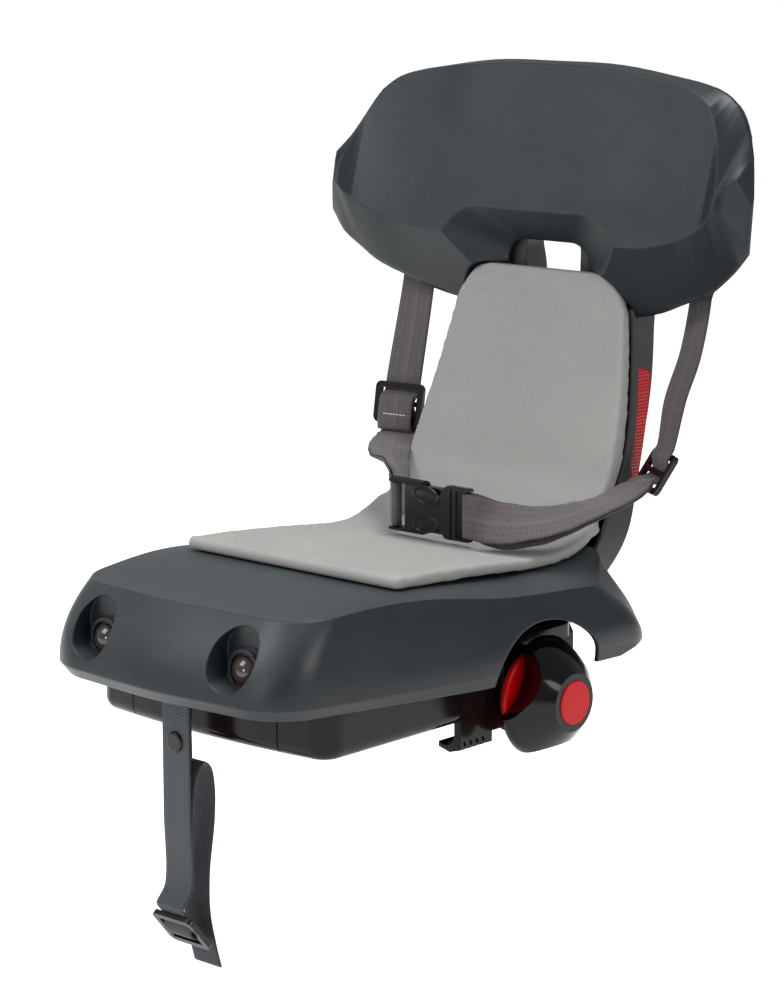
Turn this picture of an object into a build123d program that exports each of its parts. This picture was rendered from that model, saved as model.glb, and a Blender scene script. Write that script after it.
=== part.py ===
from build123d import *
import math
import os

# Child bike seat. Millimetres, +Z up, the rider faces -Y, +X is the knob side.
# The origin lies on the carrier face, under the axis of the clamp spindle.

# Seat shell
WALL = 3.0
SHELL_LOW_Z = 35.0
SHELL_LIP_Z = 43.0
SHELL_MID_Z = 69.0
SHELL_UPPER_Z = 84.0
SHELL_CREASE_Z = 97.0
SHELL_TOP_Z = 115.0
CORNER_R = 30.0
# The deck from front to rear: depth, height, and the radius with which it rolls off to the sides.
DECK = [(-262, 92.5, 1900), (-217, 97, 1600), (-160, 99.8, 340), (-112, 101, 250), (-60, 97.2, 215),
        (0, 91.8, 290), (45, 90.8, 240), (75, 95, 125), (104, 107.5, 88), (134, 116, 86)]
DECK_FLAT = 90.0
SIDE_ARCH_Y = -14.0
SIDE_ARCH_HALF = 50.0
SIDE_ARCH_RISE = 37.0
POCKET_X = 66.0
POCKET_Z = 71.0
POCKET_W = 38.0
POCKET_H = 41.0
POCKET_FRONT_Y = -255.0
POCKET_FLOOR_Y = -216.6
BOLT_Z = 61.5
BOSS_R = 7.0
SHELL_BOSSES = [(-84, -150), (84, -150), (-84, -88), (84, -88)]

# Base tray and clamp
BASE_HALF = 110.0
BASE_H = 44.5
BASE_FRONT_Y = -197.0
BASE_REAR_Y = 86.0
BASE_CORNER_R = 18.0
BASE_EDGE_R = 9.0
BAY_Y0 = -57.5
BAY_Y1 = 40.5
BAY_WALL = 5.0
AXIS_Z = 14.6
SPINDLE_R = 6.0
BORE_GAP = 0.3
COLLAR_R = 10.0
COLLAR_HALF = 3.3
JAW_TRAVEL = 45.0
GUIDE_END_X = 37.5
JAW_PLATE = 6.0
JAW_GAP = 0.5
JAW_TOP_Z = 42.0
JAW_SKIRT_Z = -10.0
FOOT_Z = -20.5
FOOT_TIP_X = 90.0
TUBE_R = 8.0
TUBE_X = 95.5
TUBE_Z = -8.3
LEG_LENGTH = 33.0
COVER_H = 13.0
COVER_WALL = 2.5
EAR_X = 112.0
EAR_T = 5.0
EAR_R = 21.0

# Knob
FLANGE_X = 119.0
FLANGE_R = 32.0
TEETH_R = 21.0
TEETH = 14
KNOB_X = 129.3
KNOB_R = 42.0
KNOB_FACE_X = 163.0
CAP_R = 15.3
CAP_T = 3.0
LOBE_TURN = 15.0

# Pad and backrest. Each station: height, half width, front, rear at the side, rear in the middle.
PAD_GAP = 0.6
PAD_FRONT_Y = -112.0
COLUMN = [
    (45.2, 94, 59, 82, 84),
    (66, 99, 72, 101, 104),
    (86, 103, 87, 119, 122),
    (106, 103, 104, 135, 139),
    (130, 98, 124, 149, 155),
    (152, 96, 137, 157, 165),
    (176, 94.5, 145.5, 164, 173),
    (202, 91, 152.5, 174, 182),
    (230, 86, 159, 183, 190),
    (255, 83, 163, 188, 195),
    (285, 82, 167, 190, 197),
    (330, 82, 171, 191, 197),
]
WINDOW_HALF = 26.0
WINDOW_Z0 = 258.0
WINDOW_Z1 = 313.0

# Headrest. Each station: half width, then depth and height of the lower crease, the upper
# crease, the rear top and the rear bottom.
HEADREST = [
    (0, 139, 309, 163, 434, 176, 436, 170, 252),
    (60, 138.5, 309, 161, 432.5, 176, 435, 169.5, 252),
    (110, 139, 310, 160, 426.5, 176, 428.5, 162, 261),
    (137, 136.5, 317, 157, 420, 175, 424, 155.5, 271),
    (154, 132, 323, 153.5, 410, 173.5, 419, 153, 277),
    (165, 129, 329, 147, 392, 172, 412, 151, 283),
    (173, 126, 335, 137, 372, 169.5, 403, 149.5, 289),
    (178.5, 125, 342, 128, 353, 167, 395, 148, 293),
    (188, 133, 331, 138, 362, 160, 377, 145.5, 301),
    (196, 142, 317, 145, 345, 150, 350, 146, 311),
]
COVER_T = 9.0
SEAM = 0.3
ARCH_FACE_Y = 137.0
ARCH_FACE_HALF = 86.0
ARCH_FACE_TOP = 334.5
ARCH_LIP_Y = 166.0
ARCH_LIP_HALF = 38.0
ARCH_LIP_TOP = 304.5

# Harness and tether
WEB_W = 32.0
WEB_T = 1.5
TETHER_W = 26.0
TETHER_T = 1.4
BAR_R = 2.0
LAYER_GAP = 0.3
SLIDE_HALF_T = 1.8
SLIDE_HEIGHT = 32.0
SLOT_MID = 6.5
SLOT_SPAN = 9.0
BUCKLE_Y = 30.0
BUCKLE_Z = 123.5
BUCKLE_W = 39.0
BUCKLE_T = 11.0
SOCKET_X0 = -31.0
SOCKET_BAR_X = -27.5
SOCKET_BODY_X = -15.0
SOCKET_X1 = 28.0
PLUG_X1 = 42.0
PLUG_BAR_X = 40.0
TETHER_Y = -219.0
TETHER_PIN_Z = 52.0
PIN_R = 2.5
RIVET_Z = 2.0
RIVET_R = 7.0


def polygon(points):
    return make_face(Polyline(*points, close=True))


def rounded(points, radii):
    return make_face(FilletPolyline(*points, radius=radii, close=True))


def bar_x(radius, x0, x1, y, z):
    """A round bar along X."""
    return Pos((x0 + x1) / 2, y, z) * Rot(0, 90, 0) * Cylinder(radius, x1 - x0)


def bar_y(radius, y0, y1, x, z):
    """A round bar along Y."""
    return Pos(x, (y0 + y1) / 2, z) * Rot(90, 0, 0) * Cylinder(radius, y1 - y0)


def bar_z(radius, z0, z1, x, y):
    """A round bar along Z."""
    return Pos(x, y, (z0 + z1) / 2) * Cylinder(radius, z1 - z0)


def block(x0, x1, y0, y1, z0, z1):
    size = Box(abs(x1 - x0), abs(y1 - y0), abs(z1 - z0))
    return Pos((x0 + x1) / 2, (y0 + y1) / 2, (z0 + z1) / 2) * size


def both_sides(form):
    return form + mirror(form, about=Plane.YZ)


def save(part, name):
    solids = part.solids() if not isinstance(part, list) else [s for p in part for s in p.solids()]
    export_step(solids[0] if len(solids) == 1 else Compound(children=solids), f"parts/{name}.step")


# Seat shell

# Front middle, then the corners along one side to the rear, with their radii.
SHELL_VERTICES = {
    SHELL_LOW_Z: (-241, (106, -232), (147, -68), (157, 80), (136, 100), 42),
    SHELL_LIP_Z: (-247, (111, -238), (149, -68), (159, 84), (137, 102), 47),
    SHELL_MID_Z: (-239, (110, -230), (146, -60), (155, 64), (130, 97), 40),
    SHELL_UPPER_Z: (-229, (108.5, -220.5), (139.5, -55), (143, 50), (120, 93), 38),
    SHELL_CREASE_Z: (-217.5, (106, -210), (132, -60), (134, 36), (112, 92), 38),
    SHELL_TOP_Z: (-202, (102, -194), (125, -58), (128, 30), (106, 88), 36),
}


def shell_outline(z, inset):
    front, *corners, radius = SHELL_VERTICES[z]
    right = [(0, front), *corners]
    left = [(-x, y) for x, y in reversed(corners)]
    radii = [320, radius, 240, 24, 12, 12, 24, 240, radius]
    outline = rounded(right + left, radii)
    return outline if inset == 0 else offset(outline, -inset)


def deck_form(drop, floor):
    """The body below the deck: flat in the middle, rolled off to both sides, above a floor line."""
    sections = []
    for y, height, radius in DECK:
        z = height - drop
        middle = z - radius + math.sqrt(radius**2 - 40**2)
        edge = z - radius + math.sqrt(radius**2 - 80**2)
        half = DECK_FLAT
        edges = [
            Line((-half, z), (half, z)),
            ThreePointArc((half, z), (half + 40, middle), (half + 80, edge)),
            Polyline((half + 80, edge), (half + 80, 5), (-half - 80, 5), (-half - 80, edge)),
            ThreePointArc((-half - 80, edge), (-half - 40, middle), (-half, z)),
        ]
        sections.append(Pos(0, y, 0) * (Plane.XZ * make_face(edges)))
    outline = polygon(floor + [(DECK[-1][0], 140), (DECK[0][0], 140)])
    return loft(sections) & extrude(Plane.YZ * outline, 180, both=True)


def shell_form(inset, floor):
    sections = [Pos(0, 0, z) * shell_outline(z, inset) for z in SHELL_VERTICES]
    walls = loft(sections[:2], ruled=True) + loft(sections[1:-1]) + loft(sections[-2:], ruled=True)
    if inset:
        walls += Pos(0, 0, SHELL_LOW_Z - 20) * extrude(shell_outline(SHELL_LOW_Z, inset), 20)
    return walls & deck_form(inset, floor)


def pocket_bore(grow, y0, y1):
    face = Plane.XZ * SlotOverall(POCKET_H + 2 * grow, POCKET_W + 2 * grow, rotation=90)
    return Pos(POCKET_X, y1, POCKET_Z) * extrude(face, y1 - y0)


def column_form(grow, z_low=0.0):
    """The backrest column: flat front, rounded rear, widening to its foot."""
    sections = []
    for z, half, front, side, middle in COLUMN:
        half, front, side, middle = half + grow, front - grow, side + grow, middle + grow
        edges = [
            Line((-half, front), (half, front)),
            Line((half, front), (half, side)),
            ThreePointArc((half, side), (0, middle), (-half, side)),
            Line((-half, side), (-half, front)),
        ]
        sections.append(Pos(0, 0, z - z_low) * make_face(edges))
    return loft(sections)


def seat_shell():
    floor = [(-262, SHELL_LOW_Z), (60, SHELL_LOW_Z), (84, 42), (92, 50), (130, 78)]
    low_floor = [(-262, 16), (130, 16)]
    outer = shell_form(0, floor)
    inner = shell_form(WALL, low_floor)
    pocket = pocket_bore(WALL, POCKET_FRONT_Y, POCKET_FLOOR_Y + WALL) & outer
    bosses = [bar_z(BOSS_R, BASE_H + 0.7, SHELL_TOP_Z, x, y) & outer for x, y in SHELL_BOSSES]
    ribs = [block(x - 1.5, x + 1.5, TETHER_Y - 9, TETHER_Y + 12, 42, SHELL_TOP_Z) & outer
            for x in (-TETHER_W / 2 - 3, TETHER_W / 2 + 3)]
    cross = [block(-100, 100, y - 1.2, y + 1.2, 62, SHELL_TOP_Z) & outer for y in (-170, -118)]
    shell = outer - inner
    for piece in [pocket, mirror(pocket, about=Plane.YZ), *bosses, *ribs, *cross]:
        shell += piece
    bore = pocket_bore(0, POCKET_FRONT_Y, POCKET_FLOOR_Y)
    shell -= both_sides(bore)
    seat_boss = bar_y(15, POCKET_FLOOR_Y - 5, POCKET_FLOOR_Y, POCKET_X, BOLT_Z)
    seat_boss -= bar_y(12, POCKET_FLOOR_Y - 6, POCKET_FLOOR_Y - 2, POCKET_X, BOLT_Z)
    shell += both_sides(seat_boss)
    for x, y in SHELL_BOSSES:
        shell -= bar_z(2.6, BASE_H, 62, x, y)
    arch = Plane.YZ * (Pos(SIDE_ARCH_Y, SHELL_LOW_Z) * Ellipse(SIDE_ARCH_HALF, SIDE_ARCH_RISE))
    shell -= both_sides(Pos(100, 0, 0) * extrude(arch, 80))
    shell -= column_form(1.0)
    shell -= block(-104, 104, 100, 140, 30, 140)
    shell -= bar_x(PIN_R + 0.1, -30, 30, TETHER_Y + PIN_R + LAYER_GAP + TETHER_T / 2, TETHER_PIN_Z)
    shell -= bar_y(3.3, POCKET_FLOOR_Y - 8, POCKET_FLOOR_Y + 8, POCKET_X, BOLT_Z)
    shell -= bar_y(3.3, POCKET_FLOOR_Y - 8, POCKET_FLOOR_Y + 8, -POCKET_X, BOLT_Z)
    return shell


def pocket_bolts():
    cap = Pos(0, 0, -5.33) * Sphere(11.33) - block(-20, 20, -20, 20, -30, 0)
    bolt = cap + bar_z(10, -2, 0.01, 0, 0) + bar_z(3, -20, -1.9, 0, 0)
    bolt = Pos(0, POCKET_FLOOR_Y - 4.3, BOLT_Z) * Rot(90, 0, 0) * bolt
    return [Pos(x, 0, 0) * bolt for x in (-POCKET_X, POCKET_X)]


# Base tray, clamp cover, jaws and spindle

def base_outline(inset):
    half, front, rear = BASE_HALF, BASE_FRONT_Y, BASE_REAR_Y
    side = front + 6
    r = BASE_CORNER_R
    bend = r * (1 - math.sqrt(0.5))
    edges = [
        ThreePointArc((-half + r, side), (0, front), (half - r, side)),
        ThreePointArc((half - r, side), (half - bend, side + bend), (half, side + r)),
        Polyline((half, side + r), (half, rear - 22), (half - 22, rear), (22 - half, rear),
                 (-half, rear - 22), (-half, side + r)),
        ThreePointArc((-half, side + r), (bend - half, side + bend), (r - half, side)),
    ]
    outline = make_face(edges)
    return outline if inset == 0 else offset(outline, -inset)


FRAME_BOSSES = [(-62, 70), (62, 70)]
COVER_SCREWS = [(-92, BAY_Y0 - 9), (92, BAY_Y0 - 9), (-92, BAY_Y1 + 9), (92, BAY_Y1 + 9)]


def tray_form(inset):
    form = Pos(0, 0, inset) * extrude(base_outline(inset), BASE_H)
    return fillet(form.faces().sort_by(Axis.Z)[0].edges(), BASE_EDGE_R - inset)


def base_tray():
    tray = tray_form(0) - tray_form(WALL)
    body = tray_form(0.5)
    for y0, y1 in ((BAY_Y0 - BAY_WALL, BAY_Y0), (BAY_Y1, BAY_Y1 + BAY_WALL)):
        tray += block(-BASE_HALF, BASE_HALF, y0, y1, 0.5, BASE_H) & body
    for y in (-160, -118):
        tray += block(-BASE_HALF, BASE_HALF, y - 1.2, y + 1.2, 0.5, 26) & body
    for x in (-40, 40):
        tray += block(x - 1.2, x + 1.2, BASE_FRONT_Y, BAY_Y0, 0.5, 26) & body
    for x, y in SHELL_BOSSES + FRAME_BOSSES:
        tray += bar_z(BOSS_R, 0, BASE_H, x, y)
    for x, y in COVER_SCREWS:
        tray += bar_z(4.5, 0, BASE_H, x, y)
    # The clamp bay is open at both sides and below the travel of each jaw.
    side = block(52, BASE_HALF + 5, BAY_Y0, BAY_Y1, -1, BASE_H + 1)
    tray -= both_sides(side)
    tray += block(-14, 14, -21, 21, 1, AXIS_Z)
    tray -= bar_x(SPINDLE_R + BORE_GAP, -20, 20, 0, AXIS_Z)
    tray -= bar_x(COLLAR_R + BORE_GAP, -COLLAR_HALF - BORE_GAP, COLLAR_HALF + BORE_GAP, 0, AXIS_Z)
    tray -= both_sides(block(GUIDE_END_X, BASE_HALF - 3, BAY_Y0 - 2.8, BAY_Y0 + 1, 19.5, 26.5))
    tray -= both_sides(block(GUIDE_END_X, BASE_HALF - 3, BAY_Y1 - 1, BAY_Y1 + 2.8, 19.5, 26.5))
    for x, y in SHELL_BOSSES + FRAME_BOSSES:
        tray -= bar_z(2.9, -1, BASE_H + 1, x, y)
        tray -= bar_z(5.2, -1, 5, x, y)
    for x, y in COVER_SCREWS:
        tray -= bar_z(1.6, BASE_H - 14, BASE_H + 1, x, y)
    for y in (-16, 16):
        tray -= bar_z(1.6, 4, AXIS_Z + 1, 0, y)
    for x in (-69, 69):
        tray -= block(x - 0.5, x + 0.5, BASE_FRONT_Y - 3, BASE_FRONT_Y + 6.8, -1, BASE_H + 1)
    return tray


def clamp_cover():
    y0, y1 = BAY_Y0 - 15, BAY_Y1 + 15
    z0 = BASE_H + 0.2
    roof = block(-BASE_HALF - 2, EAR_X + EAR_T, y0, y1, z0, z0 + COVER_H)
    roof = fillet(roof.edges().filter_by(Axis.Z), 8)
    roof = fillet(roof.faces().sort_by(Axis.Z)[-1].edges(), 4)
    cavity = block(-BASE_HALF + 3, BASE_HALF - 3, BAY_Y0, BAY_Y1, z0 - 1, z0 + COVER_H - COVER_WALL)
    cover = roof - cavity
    cover -= both_sides(block(40, BASE_HALF + 1.7, BAY_Y0, BAY_Y1, z0 - 1, z0 + 2))
    ear = bar_x(EAR_R, EAR_X, EAR_X + EAR_T, 0, AXIS_Z)
    ear += block(EAR_X, EAR_X + EAR_T, -EAR_R, EAR_R, AXIS_Z, z0 + 4)
    cover += ear
    cover -= bar_x(SPINDLE_R + BORE_GAP, EAR_X - 5, EAR_X + EAR_T + 1, 0, AXIS_Z)
    for x, y in COVER_SCREWS:
        cover -= bar_z(2.0, z0 - 1, z0 + COVER_H + 1, x, y)
        cover -= bar_z(4.0, z0 + COVER_H - 3, z0 + COVER_H + 1, x, y)
    return cover


def jaw_right():
    y0, y1 = BAY_Y0 + JAW_GAP, BAY_Y1 - JAW_GAP
    inner = BASE_HALF - JAW_PLATE
    plate = block(inner, BASE_HALF, y0, y1, JAW_SKIRT_Z, JAW_TOP_Z)
    profile = [
        (inner, 3), (BASE_HALF, 3), (BASE_HALF, FOOT_Z + 3), (BASE_HALF - 10, FOOT_Z),
        (FOOT_TIP_X, FOOT_Z + 2.5), (FOOT_TIP_X, TUBE_Z - 3), (inner, TUBE_Z),
    ]
    hook = Plane.XZ * polygon(profile)
    legs = Pos(0, y0 + LEG_LENGTH, 0) * extrude(hook, LEG_LENGTH)
    legs += Pos(0, y1, 0) * extrude(hook, LEG_LENGTH)
    jaw = plate + legs
    jaw -= bar_y(TUBE_R, y0 - 1, y1 + 1, TUBE_X, TUBE_Z)
    jaw += bar_x(11, 82, inner + 1, 0, AXIS_Z)
    for y in (-30, 24):
        jaw += Plane.XZ.offset(-y) * extrude(polygon([(84, 12), (inner + 1, 4.5), (inner + 1, 40)]), 2)
    for ya, yb in ((BAY_Y0 - 2.3, y0 + 1), (y1 - 1, BAY_Y1 + 2.3)):
        jaw += block(84, inner, ya, yb, 20, 26)
    jaw += block(84, inner, y0, y0 + 3, 16, 30) + block(84, inner, y1 - 3, y1, 16, 30)
    jaw -= bar_x(SPINDLE_R + BORE_GAP, 80, BASE_HALF + 1, 0, AXIS_Z)
    # Four slanted grip slots in the lower edge of the front foot
    for n in range(4):
        slot = Rot(28, 0, 0) * Box(9, 2.2, 12)
        jaw -= Pos(BASE_HALF + 1, y0 + 6 + 6.5 * n, FOOT_Z + 3) * slot
    return jaw


def spindle():
    shaft = bar_x(SPINDLE_R, -BASE_HALF + 6, KNOB_X + 22, 0, AXIS_Z)
    return shaft + bar_x(COLLAR_R, -COLLAR_HALF, COLLAR_HALF, 0, AXIS_Z)


def bearing_cap():
    cap = block(-12, 12, -21, 21, AXIS_Z + 0.3, AXIS_Z + 15)
    cap = fillet(cap.edges().filter_by(Axis.X).sort_by(Axis.Z)[-2:], 7)
    cap -= bar_x(SPINDLE_R + BORE_GAP, -20, 20, 0, AXIS_Z)
    cap -= bar_x(COLLAR_R + BORE_GAP, -COLLAR_HALF - BORE_GAP, COLLAR_HALF + BORE_GAP, 0, AXIS_Z)
    for y in (-16, 16):
        cap -= bar_z(1.8, AXIS_Z, AXIS_Z + 20, 0, y)
        cap -= bar_z(4, AXIS_Z + 8, AXIS_Z + 20, 0, y)
    return cap


# Knob

def knob_flange():
    hub = bar_x(TEETH_R - 3, FLANGE_X, FLANGE_X + 5, 0, AXIS_Z)
    tooth = Pos(FLANGE_X + 2.5, 0, AXIS_Z + TEETH_R - 2.5) * Rot(0, 0, 45) * Box(5, 5, 6)
    for n in range(TEETH):
        turn = Pos(0, 0, AXIS_Z) * Rot(360 / TEETH * n, 0, 0) * Pos(0, 0, -AXIS_Z)
        hub += turn * tooth
    hub = hub & block(FLANGE_X, FLANGE_X + 6, -60, 60, -60, 90)
    disc = bar_x(FLANGE_R, FLANGE_X + 4, FLANGE_X + 10, 0, AXIS_Z)
    disc = fillet(disc.edges(), 2.4)
    return hub + disc - bar_x(SPINDLE_R + 0.05, FLANGE_X - 1, FLANGE_X + 12, 0, AXIS_Z)


def knob_body():
    depth = KNOB_FACE_X - KNOB_X
    half = [
        (0, 0), (KNOB_R - 4, 0), (KNOB_R, 4), (KNOB_R, 9), (KNOB_R - 6, 19), (KNOB_R - 15, 28),
        (CAP_R + 5, depth), (0, depth),
    ]
    edges = [Polyline(half[0], half[1], half[2]), Spline(*half[2:7]), Polyline(half[6], half[7], half[0])]
    dome = revolve(Plane.XZ * make_face(edges), Axis.Z)
    dome = Pos(KNOB_X, 0, AXIS_Z) * Rot(0, 90, 0) * dome
    lean = 17
    for n in range(3):
        scoop = Pos(0, 0, 55) * Rot(0, 90 - lean, 0) * Cylinder(27, 140)
        turn = Pos(KNOB_X, 0, AXIS_Z) * Rot(45 + LOBE_TURN - 15 + 120 * n, 0, 0)
        dome -= turn * scoop
    dome -= bar_x(CAP_R + 0.05, KNOB_FACE_X - CAP_T, KNOB_FACE_X + 2, 0, AXIS_Z)
    dome -= bar_x(SPINDLE_R + 0.05, KNOB_X - 1, KNOB_X + 22.05, 0, AXIS_Z)
    return dome


def knob_cap():
    cap = bar_x(CAP_R, KNOB_FACE_X - CAP_T + 0.05, KNOB_FACE_X + 1.2, 0, AXIS_Z)
    return fillet(cap.edges().sort_by(Axis.X)[-1], 1.0)


# Seat pad

def pad_outline_plan():
    right = [(0, PAD_FRONT_Y - 3), (101, PAD_FRONT_Y), (98, -20), (97, 40), (103, 84), (97, 140)]
    radii = [400, 6, 300, 160, 60, 4]
    left = [(-x, y) for x, y in reversed(right[1:])]
    return rounded(right + left, radii + list(reversed(radii[1:])))


def pad_outline_front():
    right = [(97, 80), (96, 150), (91, 190), (79.5, 262), (63, 285)]
    left = [(-x, z) for x, z in reversed(right)]
    radii = [1, 40, 60, 26, 24]
    return rounded(right + left, radii + list(reversed(radii)))


PAD_LOW = [(-125, 102.4), (-108, 101.6), (-60, 99.0), (-10, 95.5), (25, 92.6), (48, 91.8), (75, 95.8),
           (100, 108)]
PAD_TOP = [(-108, 110.5), (-60, 108), (-10, 104), (25, 100.4), (48, 99.6), (72, 103.3), (92, 112.5), (106, 126),
           (117, 141), (127, 165), (138, 195), (148, 231), (154, 256), (157, 292)]


def seat_pad():
    start, end = PAD_TOP[0], PAD_TOP[-1]
    rear = [(front + 1, z) for z, half, front, side, middle in COLUMN if 100 < z < 290]
    edges = [
        Spline(*PAD_TOP),
        Polyline(start, (PAD_FRONT_Y, start[1] - 3), (PAD_FRONT_Y, 85), (92, 85), *rear,
                 (168, end[1]), end),
    ]
    profile = extrude(Plane.YZ * make_face(edges), 130, both=True)
    split_z = 112
    seat = profile & extrude(pad_outline_plan(), split_z)
    back = profile & (Pos(0, 200, 0) * extrude(Plane.XZ * pad_outline_front(), 220))
    pad = seat + (back & block(-130, 130, 60, 220, split_z, 300))
    pad -= deck_form(-PAD_GAP, [(-262, 60), (134, 60)])
    under = [Spline(*PAD_LOW), Polyline(PAD_LOW[-1], (100, 60), (-125, 60), PAD_LOW[0])]
    pad -= extrude(Plane.YZ * make_face(under), 200, both=True)
    return pad - column_form(PAD_GAP)


# Headrest and back frame

def both_ways(stations):
    mirrored = [(-s[0], *s[1:]) for s in reversed(stations[1:])]
    return mirrored + stations


def slopes(rows):
    """How fast each value of a station changes with the first one, at each station."""
    found = []
    for n, row in enumerate(rows):
        low, high = rows[max(n - 1, 0)], rows[min(n + 1, len(rows) - 1)]
        before, after = row[0] - low[0], high[0] - row[0]
        slope = []
        for v in range(len(row)):
            left = (row[v] - low[v]) / before if before else (high[v] - row[v]) / after
            right = (high[v] - row[v]) / after if after else left
            share = before / (before + after)
            slope.append(left * (1 - share) + right * share)
        found.append(slope)
    return found


def refined(stations, step=13.0):
    """More stations on smooth curves through the given ones, on both sides."""
    rows = both_ways(stations)
    found = []
    for low, high, m0, m1 in zip(rows, rows[1:], slopes(rows), slopes(rows)[1:]):
        span = high[0] - low[0]
        count = max(2, math.ceil(span / step))
        for n in range(count):
            t = n / count
            a, b = 2 * t**3 - 3 * t**2 + 1, t**3 - 2 * t**2 + t
            c, d = 3 * t**2 - 2 * t**3, t**3 - t**2
            found.append([a * p + b * span * u + c * q + d * span * v
                          for p, q, u, v in zip(low, high, m0, m1)])
    return found + [list(rows[-1])]


def headrest_form(grow=0.0):
    sections = []
    for x, ay, az, by, bz, cy, cz, dy, dz in refined(HEADREST):
        points = [(ay - grow, az - grow), (by - grow, bz + grow), (cy + grow, cz + grow),
                  (dy + grow, dz - 4 * grow)]
        sections.append(Plane.YZ.offset(x) * polygon(points))
    return loft(sections, ruled=True)


def headrest_void():
    sections = []
    for x, ay, az, by, bz, cy, cz, dy, dz in both_ways(HEADREST[:-2]):
        points = [(ay + 4, az + 1), (by + 3, bz - 3.5), (cy + 20, cz - 3.5), (dy + 20, dz + 7),
                  (dy + 1, dz + 7)]
        sections.append(Plane.YZ.offset(x) * polygon(points))
    pieces = [loft(pair, ruled=True) for pair in zip(sections, sections[1:])]
    return pieces[0].fuse(*pieces[1:])


def arch_section(y, grow):
    share = (y - ARCH_FACE_Y) / (ARCH_LIP_Y - ARCH_FACE_Y)
    half = ARCH_FACE_HALF + share * (ARCH_LIP_HALF - ARCH_FACE_HALF) + grow
    top = ARCH_FACE_TOP + share * (ARCH_LIP_TOP - ARCH_FACE_TOP) + grow
    radius = max(6, 34 - 18 * share)
    points = [(-half, 200), (half, 200), (half, top), (-half, top)]
    return Pos(0, y, 0) * (Plane.XZ * rounded(points, [0.5, 0.5, radius, radius]))


def arch_funnel(grow):
    funnel = loft([arch_section(y, grow) for y in (ARCH_FACE_Y - 24, ARCH_LIP_Y)], ruled=True)
    tail = Pos(0, 30, 0) * extrude(arch_section(ARCH_LIP_Y, grow), 30)
    return funnel + tail


def pad_pocket(grow, y1):
    outline = offset(pad_outline_front(), grow)
    return Pos(0, y1, 0) * extrude(Plane.XZ * outline, y1 - 90)


def headrest_shell():
    form = headrest_form()
    pocket_rear = 168.0
    cut = arch_funnel(0) + pad_pocket(1.2, pocket_rear)
    core = arch_funnel(WALL) + pad_pocket(1.2 + WALL, pocket_rear + WALL)
    void = headrest_void() - core
    return form - void - cut


def reflector_prism(grow):
    points = [(163, 219), (176, 216), (153.5, 141), (143, 138)]
    outline = rounded(points, [4, 4, 3, 3])
    if grow:
        outline = offset(outline, grow)
    return Pos(60, 0, 0) * extrude(Plane.YZ * outline, 60)


def column_void():
    """The column is a shell that opens toward the pad, with cross ribs."""
    sections = []
    for z, half, front, side, middle in COLUMN:
        half, side, middle = half - WALL, side - WALL, middle - WALL
        front = front - 8
        edges = [
            Line((-half, front), (half, front)),
            Line((half, front), (half, side)),
            ThreePointArc((half, side), (0, middle), (-half, side)),
            Line((-half, side), (-half, front)),
        ]
        sections.append(Pos(0, 0, z) * make_face(edges))
    void = loft(sections)
    for z in (84, 124, 164, 204):
        void -= block(-120, 120, 20, 220, z - 1.2, z + 1.2)
    return void & block(-100, 100, 20, 220, 58, 244)


def back_frame():
    column = column_form(0) - column_void()
    sections = []
    for x, ay, az, by, bz, cy, cz, dy, dz in refined(HEADREST[:-2]):
        slim = max(0.0, (abs(x) - 160) / 3.5)
        points = [(dy - 2, dz + 6), (cy - 2, cz - 3), (cy + COVER_T - slim, cz - 6),
                  (dy + COVER_T - slim, dz + 5)]
        sections.append(Plane.YZ.offset(x) * polygon(points))
    cover = loft(sections, ruled=True)
    frame = column + cover - headrest_form(SEAM)
    window = rounded(
        [(-WINDOW_HALF, WINDOW_Z0), (WINDOW_HALF, WINDOW_Z0), (WINDOW_HALF, WINDOW_Z1),
         (-WINDOW_HALF, WINDOW_Z1)], [8, 8, 16, 16])
    frame -= Pos(0, 230, 0) * extrude(Plane.XZ * window, 100)
    pocket = reflector_prism(3) & column_form(0) - column_form(-5.5)
    frame += both_sides(pocket)
    recess = reflector_prism(0.3) - column_form(-2.4)
    frame -= both_sides(recess)
    for x, y in FRAME_BOSSES:
        frame -= bar_z(2.6, 40, 64, x, y)
    for x in (-STRAP_X, STRAP_X):
        frame -= block(x - WEB_W / 2 - 1, x + WEB_W / 2 + 1, 140, 200, SLOT_Z - 5.5, SLOT_Z + 5.5)
        for side in (-20, 20):
            frame += block(x + side - 2, x + side + 2, 149.2, 163, SLOT_Z - 1, SLOT_Z + 5)
            frame -= bar_x(3.05, x - 23, x + 23, ANCHOR_Y, SLOT_Z)
    return max(frame.solids(), key=lambda solid: solid.volume)


def side_reflector():
    return (reflector_prism(0) & column_form(0)) - column_form(-2.1)


# Webbing: a flat strip through stations

STRAP_X = 134.0
SLOT_Z = 306.0
ANCHOR_Y = 152.5
ANCHOR_R = 3.0


def strip(points, width_dirs, width, thickness):
    """A flat strip that follows points, with one width direction for each point."""
    vectors = [Vector(*p) for p in points]
    sections = []
    for n, (here, across) in enumerate(zip(vectors, width_dirs)):
        before = vectors[max(n - 1, 0)]
        after = vectors[min(n + 1, len(vectors) - 1)]
        way_in = (here - before).normalized() if n else (after - here).normalized()
        way_out = (after - here).normalized() if n < len(vectors) - 1 else way_in
        way = (way_in + way_out).normalized()
        side = Vector(*across)
        side = (side - way * side.dot(way)).normalized()
        sections.append(Plane(origin=here, x_dir=side, z_dir=way) * Rectangle(width, thickness))
    pieces = [loft(pair, ruled=True) for pair in zip(sections, sections[1:])]
    return pieces[0].fuse(*pieces[1:])


def placed(location, points):
    """Points of a local frame, moved to the part's frame."""
    return [tuple((location * Pos(*p)).position) for p in points]


def turned(location, direction):
    """A direction of a local frame, in the part's frame."""
    tip = (location * Pos(*direction)).position - location.position
    return tuple(tip)


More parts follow.
